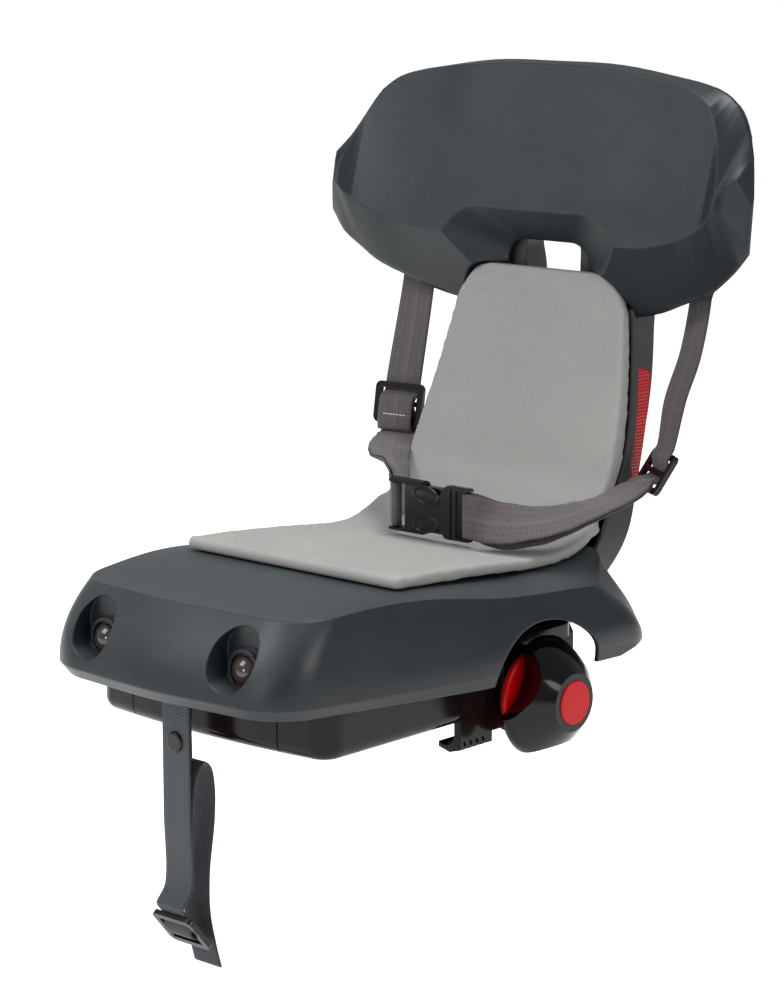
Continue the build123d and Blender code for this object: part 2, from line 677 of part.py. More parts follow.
LEFT_SLIDE = Pos(-131, 147, 171) * Rot(0, 0, 8) * Rot(-10, 0, 0)
RIGHT_SLIDE = Pos(120.5, 143, 149.5) * Rot(0, 0, -32) * Rot(-32, 0, 0)
TETHER_SLIDE = Pos(0, -216, -130) * Rot(40, 0, 0)


def slide_frame(width):
    """A three-bar slide in its own frame: bars along X, strap along Z."""
    outer = fillet(Box(width + 12, 2 * SLIDE_HALF_T, SLIDE_HEIGHT).edges().filter_by(Axis.Y), 5)
    for z in (-SLOT_MID, SLOT_MID):
        outer -= Pos(0, 0, z) * Box(width + 1.5, 8, SLOT_SPAN)
    return outer


def slide_weave():
    """Behind the end bars and in front of the middle bar, in the slide's own frame."""
    out = SLIDE_HALF_T + 1.3
    return [(0, out, 17), (0, out, 11.2), (0, -out, 1.8), (0, -out, -1.8), (0, out, -11.2),
            (0, out, -19)]


def right_weave():
    """In front of the upper end bar, behind the middle bar and out forward over the lower one."""
    out = SLIDE_HALF_T + 1.3
    return [(0, -out, 18), (0, -out, 11.2), (0, out, 1.8), (0, out, -1.8), (0, 0, -6.5),
            (0, -out - 2, -10)]


def anchor_loop(sign):
    """Round the anchor bar and out through the slot in the rear cover, then down."""
    x = sign * STRAP_X
    radius = ANCHOR_R + LAYER_GAP + WEB_T / 2
    points = [(x, ANCHOR_Y + 5, SLOT_Z - radius)]
    for n in range(5):
        angle = math.radians(-90 - 45 * n)
        points.append((x, ANCHOR_Y + radius * math.cos(angle), SLOT_Z + radius * math.sin(angle)))
    points += [(x, 164, SLOT_Z + 3.0), (x, 171, SLOT_Z + 1.5), (x, 175, SLOT_Z - 4),
               (x, 175.5, SLOT_Z - 16), (x, 174.5, SLOT_Z - 34)]
    return points


def belt_loop(stations, widths, radius, spread):
    """A doubled belt from its far end round a bar and back. The first station is the bar."""
    vectors = [Vector(*p) for p in stations]
    near, far, near_w, far_w = [], [], [], []
    for n, (here, across) in enumerate(zip(vectors, widths)):
        before = vectors[max(n - 1, 0)]
        after = vectors[min(n + 1, len(vectors) - 1)]
        way = (after - before).normalized()
        side = Vector(*across)
        side = (side - way * side.dot(way)).normalized()
        normal = way.cross(side)
        near.append(tuple(here + normal * spread[n]))
        far.append(tuple(here - normal * spread[n]))
        near_w.append(tuple(side))
        far_w.append(tuple(side))
        if n == 0:
            first = (way, normal, side)
    way, normal, side = first
    turn = []
    for angle in (36, 72, 108, 144):
        a = math.radians(angle)
        turn.append(tuple(vectors[0] + normal * (radius * math.cos(a)) - way * (radius * math.sin(a))))
    points = near[::-1] + turn + far
    dirs = near_w[::-1] + [tuple(side)] * len(turn) + far_w
    return points, dirs


LOOP_R = BAR_R + LAYER_GAP + WEB_T / 2
PAIR = WEB_T / 2 + 0.25


def webbing_left():
    down = anchor_loop(-1)
    weave = placed(LEFT_SLIDE, slide_weave())
    across = turned(LEFT_SLIDE, (1, 0, 0))
    x, y, z = weave[-1]
    stations = [(SOCKET_BAR_X, BUCKLE_Y, BUCKLE_Z), (SOCKET_BAR_X - 7, BUCKLE_Y + 6, BUCKLE_Z),
                (SOCKET_BAR_X - 17, BUCKLE_Y + 19, BUCKLE_Z + 5), (-66, 73, 139.5), (-90, 90.5, 147),
                (-104.5, 106.5, 150.5), (-116.5, 123.5, 148.5), (-125, 137.5, 146.5), (x + 0.5, y - 2, z - 4.2)]
    widths = [(0, 0, -1), (0, 0, -1), (0.25, 0.1, -0.95), (0.6, 0.25, -0.75), (0.7, 0.22, -0.62),
              (0.7, 0.14, -0.6), (0.88, 0.16, -0.3), (0.95, 0.1, -0.1), across]
    spread = [LOOP_R, 2.9, 1.6, PAIR, PAIR, PAIR, PAIR, PAIR, PAIR]
    points, dirs = belt_loop(stations, widths, LOOP_R, spread)
    half = len(points)
    points = down + weave + points[1:half]
    dirs = [(1, 0, 0)] * len(down) + [across] * len(weave) + dirs[1:half]
    return strip(points, dirs, WEB_W, WEB_T)


def webbing_right():
    lean = (math.cos(math.radians(-26)), math.sin(math.radians(-26)), 0)
    down = anchor_loop(1) + [(130.5, 168, 232), (124, 160, 200)]
    weave = placed(RIGHT_SLIDE, right_weave())
    across = turned(RIGHT_SLIDE, (1, 0, 0))
    x, y, z = weave[-1]
    stations = [(PLUG_BAR_X, BUCKLE_Y, BUCKLE_Z), (PLUG_BAR_X + 7, BUCKLE_Y - 0.5, BUCKLE_Z),
                (66, 37, 118.5), (90, 49, 120), (102, 58, 124), (110, 70, 128.5), (115, 86, 132),
                (115.5, 106, 135), (114.5, 123, 139), (x - 1.2, y - 3.6, z - 1.4)]
    widths = [(0, 0, -1), (0, 0, -1), (0.5, -0.34, -0.79), (0.7, -0.5, -0.51), (0.78, -0.5, -0.38),
              (0.83, -0.5, -0.25), (0.9, -0.43, -0.09), (0.93, -0.37, -0.02), (0.92, -0.4, 0.0), across]
    spread = [LOOP_R, 3.4, 4.5, 3.2, 2, 1.4, PAIR, PAIR, PAIR, PAIR]
    points, dirs = belt_loop(stations, widths, LOOP_R, spread)
    loop_dirs = [(1, 0, 0)] * (len(down) - 3) + [lean] * 3
    return strip(down + weave + points[1:], loop_dirs + [across] * len(weave) + dirs[1:], WEB_W, WEB_T)


def anchor_bar(sign):
    x = sign * STRAP_X
    return bar_x(ANCHOR_R, x - 22, x + 22, ANCHOR_Y, SLOT_Z)


# Side-release buckle

def buckle_box(x0, x1, half_z, inset_y=0.0):
    half_y = BUCKLE_T / 2 - inset_y
    return block(x0, x1, BUCKLE_Y - half_y, BUCKLE_Y + half_y, BUCKLE_Z - half_z, BUCKLE_Z + half_z)


def buckle_socket():
    half = BUCKLE_W / 2
    body = buckle_box(SOCKET_X0, SOCKET_X1, half)
    body = fillet(body.edges().filter_by(Axis.X), 3.5)
    body -= buckle_box(SOCKET_BODY_X + 2.5, SOCKET_X1 + 1, half - 2.5, 2)
    body -= buckle_box(SOCKET_X0 - 1, SOCKET_BODY_X, WEB_W / 2 + 0.8, -10)
    body += bar_z(BAR_R, BUCKLE_Z - half + 1, BUCKLE_Z + half - 1, SOCKET_BAR_X, BUCKLE_Y)
    for sign in (-1, 1):
        window = bar_y(12, BUCKLE_Y - 20, BUCKLE_Y + 20, SOCKET_X1 - 17, BUCKLE_Z + sign * (half + 3))
        body -= window
    return body


def buckle_plug():
    half = BUCKLE_W / 2
    head = buckle_box(SOCKET_X1 + 0.4, PLUG_X1, half, 0.8)
    head = fillet(head.edges().filter_by(Axis.X), 3)
    head -= buckle_box(SOCKET_X1 + 4.5, PLUG_X1 + 1, WEB_W / 2 + 0.8, -10)
    head += bar_z(BAR_R, BUCKLE_Z - half + 1, BUCKLE_Z + half - 1, PLUG_BAR_X, BUCKLE_Y)
    plug = head + buckle_box(SOCKET_X1 - 28, SOCKET_X1 + 2, 3.2, 2.4)
    for sign in (-1, 1):
        z_in = BUCKLE_Z + sign * 9.0
        arm = buckle_box(SOCKET_X1 - 30, SOCKET_X1 + 2, half - 3.0, 2.4)
        arm -= block(SOCKET_X1 - 40, SOCKET_X1 + 5, 0, 60, z_in - sign * 60, z_in)
        arm -= block(SOCKET_X1 - 8, SOCKET_X1 + 0.3, 0, 60, z_in + sign * 3.2, z_in + sign * 60)
        arm -= block(SOCKET_X1 - 40, SOCKET_X1 - 26, 0, 60, z_in + sign * 4, z_in + sign * 60)
        plug += arm
    return plug


# Tether strap, its rivet, pin and slide

def tether_paths():
    y = TETHER_Y
    radius = PIN_R + LAYER_GAP + TETHER_T / 2
    weave = placed(TETHER_SLIDE, slide_weave())
    lead_x, lead_y, lead_z = weave[0]
    front = [(0, lead_y - 2.4, lead_z + 4), (0, y, -100), (0, y, -50), (0, y, 2), (0, y, 30),
             (0, y, TETHER_PIN_Z)]
    over = []
    for angle in (144, 108, 72, 36):
        a = math.radians(angle)
        over.append((0, y + radius + radius * math.cos(a), TETHER_PIN_Z + radius * math.sin(a)))
    back = [(0, y + 2 * radius, TETHER_PIN_Z), (0, y + 2 * radius, TETHER_PIN_Z - 10),
            (0, y + 1.9, 16), (0, y + 1.9, 0), (0, y + 1.9, -9)]
    tail = [(0, y + 1.8, -100), (0, y + 1.8, -60), (0, y + 3, -38), (0, y + 7, -20), (0, y + 13, -13),
            (0, y + 19, -17), (0, y + 22.5, -32), (0, y + 22, -55), (0, y + 17, -90),
            (0, y + 17, -118), (0, y + 22, -142), (0, y + 27, -160)]
    return weave[::-1] + front + over + back, tail


def tether_strap():
    main_run, tail = tether_paths()
    strap = strip(main_run, [(1, 0, 0)] * len(main_run), TETHER_W, TETHER_T)
    loose = strip(tail, [(1, 0, 0)] * len(tail), TETHER_W, TETHER_T)
    hole = bar_y(2.7, TETHER_Y - 5, TETHER_Y + 5, 0, RIVET_Z)
    return [strap - hole, loose]


def tether_rivet():
    y = TETHER_Y - TETHER_T / 2 - 0.1
    rear = TETHER_Y + 1.9 + TETHER_T / 2 + 0.1
    rivet = bar_y(2.5, y - 1, rear + 1, 0, RIVET_Z)
    dome = bar_y(RIVET_R, y - 2.2, y, 0, RIVET_Z)
    dome = fillet(dome.edges().sort_by(Axis.Y)[0], 1.5)
    return rivet + dome + bar_y(RIVET_R - 1, rear, rear + 1.4, 0, RIVET_Z)


def tether_pin():
    reach = TETHER_W / 2 + 5
    return bar_x(PIN_R, -reach, reach, TETHER_Y + PIN_R + LAYER_GAP + TETHER_T / 2, TETHER_PIN_Z)


# Screws

def screw(x, y, z_under, way, head_r, shank_r, length):
    """A pan-head screw. way is the side of z_under that its head lies on: 1 is above."""
    head = bar_z(head_r, min(z_under, z_under + way * 2.6), max(z_under, z_under + way * 2.6), x, y)
    head -= block(x - 0.6, x + 0.6, y - 2.6, y + 2.6, z_under + way * 1.4 - 0.6, z_under + way * 4)
    shank = bar_z(shank_r, min(z_under, z_under - way * length), max(z_under, z_under - way * length), x, y)
    return head + shank


def shell_screws():
    return [screw(x, y, 4.9, -1, 4.8, 2.5, 52) for x, y in SHELL_BOSSES]


def frame_screws():
    return [screw(x, y, 4.9, -1, 4.8, 2.5, 54) for x, y in FRAME_BOSSES]


def cover_screws():
    top = BASE_H + 0.2 + COVER_H - 3
    return [screw(x, y, top + 0.05, 1, 3.7, 1.5, 22) for x, y in COVER_SCREWS]


def bearing_screws():
    return [screw(0, y, AXIS_Z + 8.05, 1, 3.6, 1.5, 16) for y in (-16, 16)]


def main():
    os.makedirs("parts", exist_ok=True)
    save(seat_shell(), "seat_shell")
    save(pocket_bolts(), "pocket_bolts")
    save(base_tray(), "base_tray")
    save(clamp_cover(), "clamp_cover")
    jaw = jaw_right()
    save(jaw, "jaw_right")
    save(mirror(jaw, about=Plane.YZ), "jaw_left")
    save(spindle(), "spindle")
    save(bearing_cap(), "bearing_cap")
    save(knob_flange(), "knob_flange")
    save(knob_body(), "knob_body")
    save(knob_cap(), "knob_cap")
    save(seat_pad(), "seat_pad")
    save(headrest_shell(), "headrest_shell")
    save(back_frame(), "back_frame")
    reflector = side_reflector()
    save(reflector, "side_reflector_right")
    save(mirror(reflector, about=Plane.YZ), "side_reflector_left")
    save(webbing_left(), "webbing_left")
    save(webbing_right(), "webbing_right")
    save(anchor_bar(-1), "anchor_bar_left")
    save(anchor_bar(1), "anchor_bar_right")
    save(LEFT_SLIDE * slide_frame(WEB_W), "triglide_left")
    save(RIGHT_SLIDE * slide_frame(WEB_W), "triglide_right")
    save(buckle_socket(), "buckle_socket")
    save(buckle_plug(), "buckle_plug")
    save(tether_strap(), "tether_strap")
    save(tether_rivet(), "tether_rivet")
    save(tether_pin(), "tether_pin")
    save(TETHER_SLIDE * slide_frame(TETHER_W), "tether_slide")
    save(shell_screws(), "shell_screws")
    save(frame_screws(), "frame_screws")
    save(cover_screws(), "cover_screws")
    save(bearing_screws(), "bearing_screws")


main()
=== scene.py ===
import math

import bmesh
import bpy
from mathutils import Matrix, Vector


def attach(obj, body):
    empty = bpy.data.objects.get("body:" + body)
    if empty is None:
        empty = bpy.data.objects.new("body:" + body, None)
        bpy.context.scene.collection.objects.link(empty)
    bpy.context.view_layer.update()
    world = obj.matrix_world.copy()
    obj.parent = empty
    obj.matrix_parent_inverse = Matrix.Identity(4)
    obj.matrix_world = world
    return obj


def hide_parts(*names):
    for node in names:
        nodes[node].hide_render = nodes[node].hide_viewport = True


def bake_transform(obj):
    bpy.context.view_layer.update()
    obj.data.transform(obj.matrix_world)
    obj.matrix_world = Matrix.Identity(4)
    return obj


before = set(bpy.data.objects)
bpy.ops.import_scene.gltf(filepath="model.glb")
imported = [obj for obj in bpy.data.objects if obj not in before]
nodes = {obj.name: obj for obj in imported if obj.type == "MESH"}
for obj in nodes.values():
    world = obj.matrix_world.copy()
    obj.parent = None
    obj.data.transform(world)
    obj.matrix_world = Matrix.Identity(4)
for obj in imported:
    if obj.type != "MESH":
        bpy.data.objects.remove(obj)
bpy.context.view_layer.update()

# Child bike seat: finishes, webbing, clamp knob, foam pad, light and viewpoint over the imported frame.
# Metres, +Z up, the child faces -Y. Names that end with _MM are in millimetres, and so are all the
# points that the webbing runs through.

MM = 0.001


# Small tools

def linear(hex_colour):
    """An sRGB hex colour as the linear RGBA that shaders read."""
    channels = [int(hex_colour[n:n + 2], 16) / 255 for n in (1, 3, 5)]
    return [c / 12.92 if c <= 0.04045 else ((c + 0.055) / 1.055) ** 2.4 for c in channels] + [1.0]


def add(tree, kind, settings=None, links=None):
    """Adds a node, sets its properties or inputs, and links its inputs from other sockets."""
    node = tree.nodes.new(kind)
    for key, value in (settings or {}).items():
        if isinstance(key, str) and hasattr(node, key):
            setattr(node, key, value)
        else:
            node.inputs[key].default_value = value
    for key, source in (links or {}).items():
        tree.links.new(source, node.inputs[key])
    return node


def surface(name, **constants):
    """A new material with its shader; constants are the shader's own values."""
    material = bpy.data.materials.new(name)
    material.use_nodes = True
    tree = material.node_tree
    shader = tree.nodes["Principled BSDF"]
    for key, value in constants.items():
        shader.inputs[key.replace("_", " ")].default_value = value
    return material, tree, shader


def per_mm(millimetres):
    """The scale of a pattern on Object coordinates whose features are that large."""
    return 1.0 / (millimetres * MM)


def coat(piece, finish):
    """Gives a piece one finish all over."""
    piece.data.materials.clear()
    piece.data.materials.append(finish)


def merged_copy(node, name, turn=None):
    """A copy of a node's mesh as a piece of its own, turned if asked, its loose triangles merged."""
    bpy.ops.object.select_all(action="DESELECT")
    mesh = nodes[node].data.copy()
    mesh.name = name
    if turn:
        mesh.transform(turn)
    piece = bpy.data.objects.new(name, mesh)
    bpy.context.scene.collection.objects.link(piece)
    bpy.context.view_layer.objects.active = piece
    piece.select_set(True)
    bpy.ops.object.mode_set(mode="EDIT")
    bpy.ops.mesh.select_all(action="SELECT")
    bpy.ops.mesh.customdata_custom_splitnormals_clear()
    bpy.ops.mesh.remove_doubles(threshold=0.01 * MM)
    bpy.ops.object.mode_set(mode="OBJECT")
    return piece


def shaped(piece, kind, **settings):
    """Shapes a piece with one modifier and applies it."""
    modifier = piece.modifiers.new(kind.lower(), kind)
    for key, value in settings.items():
        setattr(modifier, key, value)
    bpy.context.view_layer.objects.active = piece
    bpy.ops.object.modifier_apply(modifier=modifier.name)


# Finishes

GRAIN_BUMP = 0.55                     # how strongly a mould's grain shows
SMOOTH_AND_SHADED_SHARE = 0.12                   # what is left of grain on a mould's smooth sides, and of pale tone where painted shade darkens them
DRIFT_MM, GLOSS_DRIFT = 60, 0.05      # tone and gloss drift over this length, gloss by this much
TONE_BASE, TONE_SHARE = 0.14, 0.35    # the tone without grain and drift, and the share of each
CREASE_SHADE_IN, CREASE_SHADE_OUT = 0.02, 0.07        # the painted crease shade's half width, in turn of the surface


def moulded(name, dark, pale, grain_mm, depth_mm, rough, facing=None, turn=(0.55, 0.82), edge_mm=0.0,
            crease_shade=False, **constants):
    """A moulded surface: grain in its height, a slow drift in its tone, and gloss that drifts with it.
    facing is the direction in which the mould was textured; away from it, over the range turn, the grain
    fades and the tone gets darker with painted shade. edge_mm is the radius to which the mould's edges were
    eased;
    crease_shade paints a dark line of shade along the crease where the textured face meets the side."""
    material, tree, shader = surface(name, **constants)
    place = add(tree, "ShaderNodeTexCoord").outputs["Object"]
    grain = add(tree, "ShaderNodeTexNoise", {"Scale": per_mm(grain_mm), "Detail": 2.0, "Roughness": 0.6},
                {"Vector": place}).outputs["Fac"]
    drift = add(tree, "ShaderNodeTexNoise", {"Scale": per_mm(DRIFT_MM), "Detail": 3.0},
                {"Vector": place}).outputs["Fac"]
    tone = add(tree, "ShaderNodeMath", {"operation": "MULTIPLY_ADD", 1: TONE_SHARE, 2: TONE_BASE}, {0: grain})
    tone = add(tree, "ShaderNodeMath", {"operation": "MULTIPLY_ADD", 1: TONE_SHARE},
               {0: drift, 2: tone.outputs["Value"]}).outputs["Value"]
    bump = add(tree, "ShaderNodeBump", {"Strength": GRAIN_BUMP, "Distance": depth_mm * MM}, {"Height": grain})
    if edge_mm:
        eased = add(tree, "ShaderNodeBevel", {"samples": 6, "Radius": edge_mm * MM}).outputs["Normal"]
        tree.links.new(eased, bump.inputs["Normal"])
    # Away from facing the grain fades, and the tone is darkened with painted shade.
    if facing:
        way = add(tree, "ShaderNodeNewGeometry").outputs["Normal"]
        turned = add(tree, "ShaderNodeVectorMath", {"operation": "DOT_PRODUCT", 1: facing}, {0: way})
        grain_and_painted_shade = add(tree, "ShaderNodeMapRange", {"From Min": turn[0], "From Max": turn[1],
                                                    "To Min": SMOOTH_AND_SHADED_SHARE, "To Max": 1.0},
                       {"Value": turned.outputs["Value"]}).outputs["Result"]
        tone = add(tree, "ShaderNodeMath", {"operation": "MULTIPLY"}, {0: tone, 1: grain_and_painted_shade}).outputs["Value"]
        even = add(tree, "ShaderNodeMath", {"operation": "MULTIPLY", 1: GRAIN_BUMP}, {0: grain_and_painted_shade})
        tree.links.new(even.outputs["Value"], bump.inputs["Strength"])
    # A dark line of painted shade along the crease, where the eased normal turns through the middle of turn.
    if crease_shade:
        met = add(tree, "ShaderNodeVectorMath", {"operation": "DOT_PRODUCT", 1: facing}, {0: eased})
        off = add(tree, "ShaderNodeMath", {"operation": "SUBTRACT", 1: sum(turn) / 2},
                  {0: met.outputs["Value"]})
        off = add(tree, "ShaderNodeMath", {"operation": "ABSOLUTE"}, {0: off.outputs["Value"]})
        line = add(tree, "ShaderNodeMapRange", {"From Min": CREASE_SHADE_IN, "From Max": CREASE_SHADE_OUT},
                   {"Value": off.outputs["Value"]})
        tone = add(tree, "ShaderNodeMath", {"operation": "MULTIPLY"},
                   {0: tone, 1: line.outputs["Result"]}).outputs["Value"]
    colour = add(tree, "ShaderNodeMix", {"data_type": "RGBA", 6: linear(dark), 7: linear(pale)}, {0: tone})
    gloss = add(tree, "ShaderNodeMapRange", {"From Min": 0.3, "From Max": 0.7, "To Min": rough - GLOSS_DRIFT,
                                             "To Max": rough + GLOSS_DRIFT}, {"Value": drift})
    tree.links.new(colour.outputs[2], shader.inputs["Base Color"])
    tree.links.new(gloss.outputs["Result"], shader.inputs["Roughness"])
    tree.links.new(bump.outputs["Normal"], shader.inputs["Normal"])
    return material


SELVEDGE_MM, SELVEDGE_DARK = 1.2, 0.35     # the darker edge of a webbing: its width and how much darker
STRIPE_MM = (1.2, 3.2)                     # half width of the paler middle: where it starts and stops to fade
FUZZ_PER_MM = 0.35                         # the fuzz of worn threads


def woven(name, dark, pale, rib_mm, end_mm, depth_mm, edge_mm, stripe, warp):
    """Polyester webbing on the strap's own UV map, which is in millimetres across and along it.
    Weft ribs cross the strap, warp ends run with it, the selvedge is darker and the middle a little paler."""
    material, tree, shader = surface(name, Roughness=0.72, IOR=1.55, Sheen_Weight=0.25, Sheen_Roughness=0.45)
    place = add(tree, "ShaderNodeUVMap", {"uv_map": "thread"}).outputs["UV"]
    parts = add(tree, "ShaderNodeSeparateXYZ", {}, {"Vector": place})
    across, along = parts.outputs["X"], parts.outputs["Y"]

    def wave(source, pitch):
        turns = add(tree, "ShaderNodeMath", {"operation": "MULTIPLY_ADD", 1: 2 * math.pi / pitch, 2: 0.0},
                    {0: source})
        swing = add(tree, "ShaderNodeMath", {"operation": "SINE"}, {0: turns.outputs["Value"]})
        return add(tree, "ShaderNodeMath", {"operation": "MULTIPLY_ADD", 1: 0.5, 2: 0.5},
                   {0: swing.outputs["Value"]}).outputs["Value"]

    end = add(tree, "ShaderNodeMath", {"operation": "MULTIPLY", 1: warp}, {0: wave(across, end_mm)})
    height = add(tree, "ShaderNodeMath", {"operation": "MULTIPLY_ADD", 1: 1.0 - warp},
                 {0: wave(along, rib_mm), 2: end.outputs["Value"]}).outputs["Value"]
    away = add(tree, "ShaderNodeMath", {"operation": "ABSOLUTE"}, {0: across}).outputs["Value"]
    middle = add(tree, "ShaderNodeMapRange", {"From Min": STRIPE_MM[0], "From Max": STRIPE_MM[1],
                                              "To Min": stripe, "To Max": 0.0,
                                              "interpolation_type": "SMOOTHSTEP"}, {"Value": away})
    selvedge = add(tree, "ShaderNodeMapRange", {"From Min": edge_mm - SELVEDGE_MM, "From Max": edge_mm,
                                                "To Min": 0.0, "To Max": SELVEDGE_DARK}, {"Value": away})
    fuzz = add(tree, "ShaderNodeTexNoise", {"Scale": FUZZ_PER_MM, "Detail": 4.0, "Roughness": 0.7},
               {"Vector": place})
    tone = add(tree, "ShaderNodeMath", {"operation": "MULTIPLY_ADD", 1: 0.55},
               {0: height, 2: middle.outputs["Result"]})
    tone = add(tree, "ShaderNodeMath", {"operation": "MULTIPLY_ADD", 1: 0.5},
               {0: fuzz.outputs["Fac"], 2: tone.outputs["Value"]})
    tone = add(tree, "ShaderNodeMath", {"operation": "SUBTRACT", "use_clamp": True},
               {0: tone.outputs["Value"], 1: selvedge.outputs["Result"]})
    colour = add(tree, "ShaderNodeMix", {"data_type": "RGBA", 6: linear(dark), 7: linear(pale)},
                 {0: tone.outputs["Value"]})
    bump = add(tree, "ShaderNodeBump", {"Strength": 0.8, "Distance": depth_mm * MM}, {"Height": height})
    tree.links.new(colour.outputs[2], shader.inputs["Base Color"])
    tree.links.new(bump.outputs["Normal"], shader.inputs["Normal"])
    return material


PRISM_MM, PRISM_DEPTH_MM = 2.4, 0.5


def reflector_acrylic():
    """Red PMMA over moulded corner prisms: a clear gloss over small facets, with a painted glint in each."""
    material, tree, shader = surface("red_reflector_acrylic", IOR=1.49, Roughness=0.12,
                                     Specular_IOR_Level=0.35)
    place = add(tree, "ShaderNodeTexCoord").outputs["Object"]
    prisms = add(tree, "ShaderNodeTexVoronoi", {"feature": "F1", "distance": "MANHATTAN", "Randomness": 0.0,
                                                "Scale": per_mm(PRISM_MM)}, {"Vector": place})
    # The paler red in the middle of each prism is a painted glint.
    painted_glint = add(tree, "ShaderNodeMapRange", {"From Min": 0.1, "From Max": 0.75},
                {"Value": prisms.outputs["Distance"]})
    colour = add(tree, "ShaderNodeMix", {"data_type": "RGBA", 6: linear("#d80c14"), 7: linear("#b0040a")},
                 {0: painted_glint.outputs["Result"]})
    bump = add(tree, "ShaderNodeBump", {"Strength": 0.5, "Distance": PRISM_DEPTH_MM * MM, "invert": True},
               {"Height": prisms.outputs["Distance"]})
    tree.links.new(colour.outputs[2], shader.inputs["Base Color"])
    tree.links.new(bump.outputs["Normal"], shader.inputs["Normal"])
    return material


# Polypropylene from a spark-eroded mould: a fine grain on the faces that are touched, smooth sides darkened
# with painted shade.
SHELL_PP = moulded("textured_slate_polypropylene", "#161b1f", "#4a5155", grain_mm=1.3, depth_mm=0.2,
                   rough=0.38, facing=(0.0, -0.5, 0.866), edge_mm=2.2, IOR=1.49, Specular_IOR_Level=0.35)
# The headrest's sides are darkened with painted shade, and a dark line of painted shade runs along the crease
# of its front face.
HEAD_PP = moulded("textured_slate_headrest_polypropylene", "#111a1f", "#474e52", grain_mm=1.3, depth_mm=0.2,
                  rough=0.42, facing=(0.0, -0.985, 0.17), turn=(0.8, 0.92), edge_mm=3.0, crease_shade=True,
                  IOR=1.49, Specular_IOR_Level=0.35)
# Glass-filled polyamide: a dull charcoal with a slightly open skin.
FRAME_PA = moulded("charcoal_glass_filled_polyamide", "#2c2b2d", "#3d3c3e", grain_mm=1.8, depth_mm=0.12,
                   rough=0.55, edge_mm=2.0, IOR=1.53, Specular_IOR_Level=0.35)
# Closed-cell foam, moulded with a skin: pale grey, dull, with a fine pebble.
FOAM_EVA = moulded("grey_moulded_foam", "#828381", "#b4b5b1", grain_mm=1.2, depth_mm=0.5, rough=0.88,
                   IOR=1.45, Specular_IOR_Level=0.3)
# Polished polyamide of the tray: brown-black, deep gloss.
TRAY_PA = moulded("polished_brown_black_polyamide", "#120d0c", "#1c1614", grain_mm=4.0, depth_mm=0.02,
                  rough=0.16, IOR=1.53, Specular_IOR_Level=0.16)
# Acetal: near black, a deep gloss on the clamp and knob, a satin skin on the buckle and slides.
BLACK_POM = moulded("polished_black_acetal", "#070606", "#0e0c0c", grain_mm=4.0, depth_mm=0.01, rough=0.09,
                    edge_mm=0.8, IOR=1.5, Specular_IOR_Level=0.24)
BUCKLE_POM = moulded("satin_black_acetal", "#090808", "#141313", grain_mm=1.6, depth_mm=0.05, rough=0.28,
                     edge_mm=0.7, IOR=1.48, Specular_IOR_Level=0.4)
# ABS of the knob's cap and flange: even, red and satin.
RED_ABS = moulded("satin_red_abs", "#b4040a", "#c80c12", grain_mm=2.0, depth_mm=0.02, rough=0.3,
                  IOR=1.5, Specular_IOR_Level=0.18)
# Zinc-plated steel: a pale metal with soft reflections.
ZINC_STEEL = moulded("zinc_plated_steel", "#9b9ea2", "#bcc0c4", grain_mm=2.2, depth_mm=0.03, rough=0.32,
                     Metallic=1.0)
# Lacquered bolt cap: dark brown-grey, a clear gloss.
BOLT_CAP = moulded("lacquered_bolt_cap", "#231e1c", "#4b423d", grain_mm=5.0, depth_mm=0.02, rough=0.14,
                   IOR=1.5, Coat_Weight=0.5)
REFLECTOR = reflector_acrylic()
# Polyester webbing. The real ribs are about 0.9 mm apart: they are drawn at 1.6 mm on the harness and at
# 2.2 mm on the tether, so that they show.
HARNESS = woven("grey_polyester_webbing", "#1f1b1d", "#6b6367", rib_mm=1.6, end_mm=5.2, depth_mm=0.34,
                edge_mm=15.6, stripe=0.14, warp=0.22)
TETHER = woven("slate_polyester_webbing", "#161b20", "#464e55", rib_mm=2.2, end_mm=2.2, depth_mm=0.36,
               edge_mm=12.6, stripe=0.0, warp=0.5)
# Polyester sewing thread: a soft sheen over fine plies.
WHITE_THREAD = moulded("white_polyester_thread", "#cfcbc4", "#efebe4", grain_mm=0.6, depth_mm=0.1, rough=0.7,
                       IOR=1.55)
BLACK_THREAD = moulded("black_polyester_thread", "#0c0c0d", "#1a1a1c", grain_mm=0.6, depth_mm=0.1, rough=0.7,
                       IOR=1.55)

FINISH_OF_NODE = {
    "seat_shell": SHELL_PP, "headrest_shell": HEAD_PP, "back_frame": FRAME_PA, "pocket_bolts": BOLT_CAP,
    "side_reflector_left": REFLECTOR, "side_reflector_right": REFLECTOR, "base_tray": TRAY_PA,
    "clamp_cover": BLACK_POM, "jaw_left": TRAY_PA, "jaw_right": TRAY_PA, "spindle": ZINC_STEEL,
    "bearing_cap": BLACK_POM, "bearing_screws": ZINC_STEEL, "knob_body": BLACK_POM, "knob_cap": RED_ABS,
    "knob_flange": RED_ABS, "triglide_left": BUCKLE_POM, "triglide_right": BUCKLE_POM,
    "buckle_socket": BUCKLE_POM, "buckle_plug": BUCKLE_POM, "tether_rivet": BUCKLE_POM,
    "tether_slide": BUCKLE_POM, "tether_pin": ZINC_STEEL, "anchor_bar_left": ZINC_STEEL,
    "anchor_bar_right": ZINC_STEEL, "shell_screws": ZINC_STEEL, "frame_screws": ZINC_STEEL,
    "cover_screws": ZINC_STEEL, "seat_pad": FOAM_EVA, "webbing_left": HARNESS, "webbing_right": HARNESS,
    "tether_strap": TETHER,
}
for node_name, finish in FINISH_OF_NODE.items():
    coat(nodes[node_name], finish)


# Webbing

